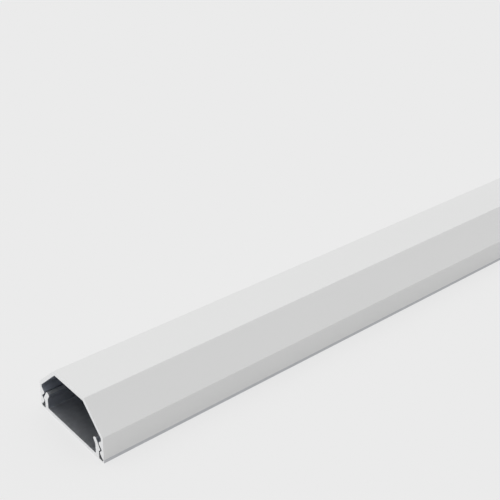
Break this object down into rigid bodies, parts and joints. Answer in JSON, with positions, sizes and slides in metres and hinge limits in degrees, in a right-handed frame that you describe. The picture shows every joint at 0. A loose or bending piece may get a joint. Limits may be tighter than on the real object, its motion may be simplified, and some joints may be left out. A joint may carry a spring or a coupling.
{
  "type": "cord cover raceway",
  "caption": "Two-piece aluminium cable raceway: a slotted base tray for the wall and a white clip-over cover that slides along it.",
  "frame": {"origin": "middle of the length, on the centreline of the base's underside, which is the face that goes against the wall", "axes": "+X along the raceway, +Y across it, +Z out of the wall face towards the cover's top"},
  "size_m": [1.1, 0.033, 0.0173],
  "materials": {
    "bare_aluminium": "mill finish, fine lines along the extrusion",
    "white_paint": "satin white paint outside, bare aluminium inside"
  },
  "bodies": {
    "base": {"base": "bare_aluminium"},
    "cover": {"cover": "white_paint"}
  },
  "joints": [
    {"name": "cover_slide", "type": "slide", "parent": "base", "child": "cover", "axis": [1, 0, 0], "range_m": [-1, 1]}
  ]
}
